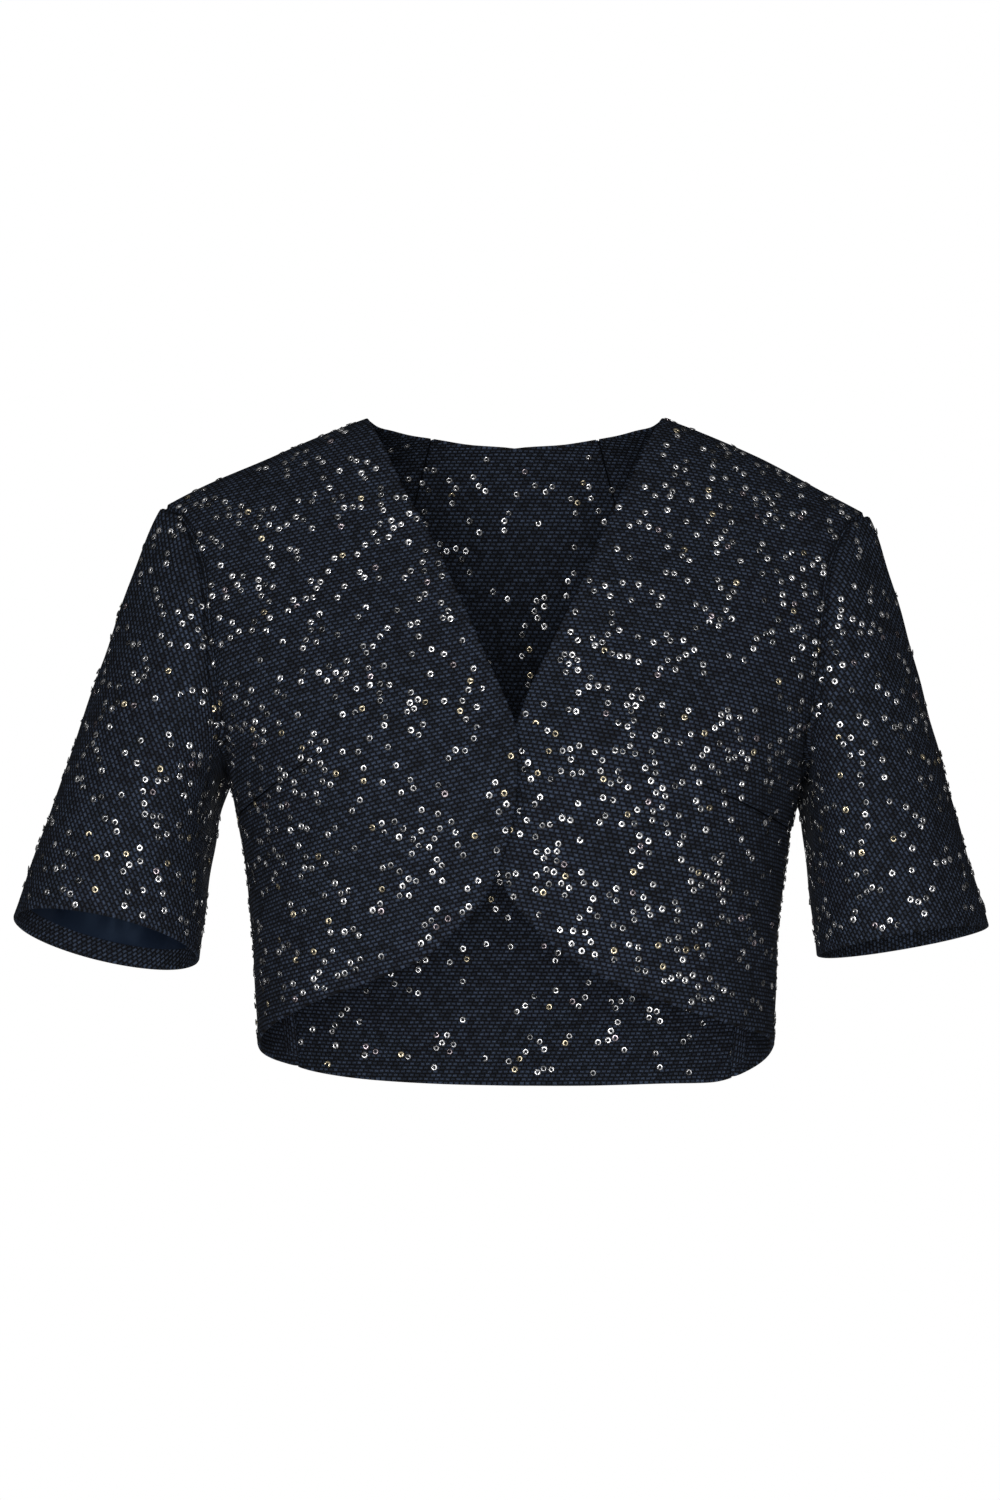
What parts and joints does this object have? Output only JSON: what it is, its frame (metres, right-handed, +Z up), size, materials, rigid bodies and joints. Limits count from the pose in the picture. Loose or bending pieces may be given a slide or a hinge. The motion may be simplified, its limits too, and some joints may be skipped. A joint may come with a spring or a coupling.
{
  "type": "bolero jacket",
  "caption": "Cropped sequinned bolero jacket in its worn form, with short set-in sleeves, a V neck and fronts that lap at the bust and curve away below.",
  "frame": {"origin": "midway between the two neck points, where the neckline meets the shoulder seams", "axes": "+Z up, -Y the way the wearer faces, +X the wearer's left"},
  "size_m": [0.5705, 0.2227, 0.3921],
  "materials": {
    "sequinned_weave": "matt chunky weave with small sequins",
    "satin": "satin",
    "stud_metal": "dark enamel"
  },
  "bodies": {
    "root": {"front_right": "sequinned_weave", "front_left": "sequinned_weave", "back": "sequinned_weave", "sleeve_right": "sequinned_weave", "sleeve_left": "sequinned_weave", "sleeve_lining_right": "satin", "sleeve_lining_left": "satin", "press_stud_ball": "stud_metal", "press_stud_socket": "stud_metal"}
  },
  "joints": []
}
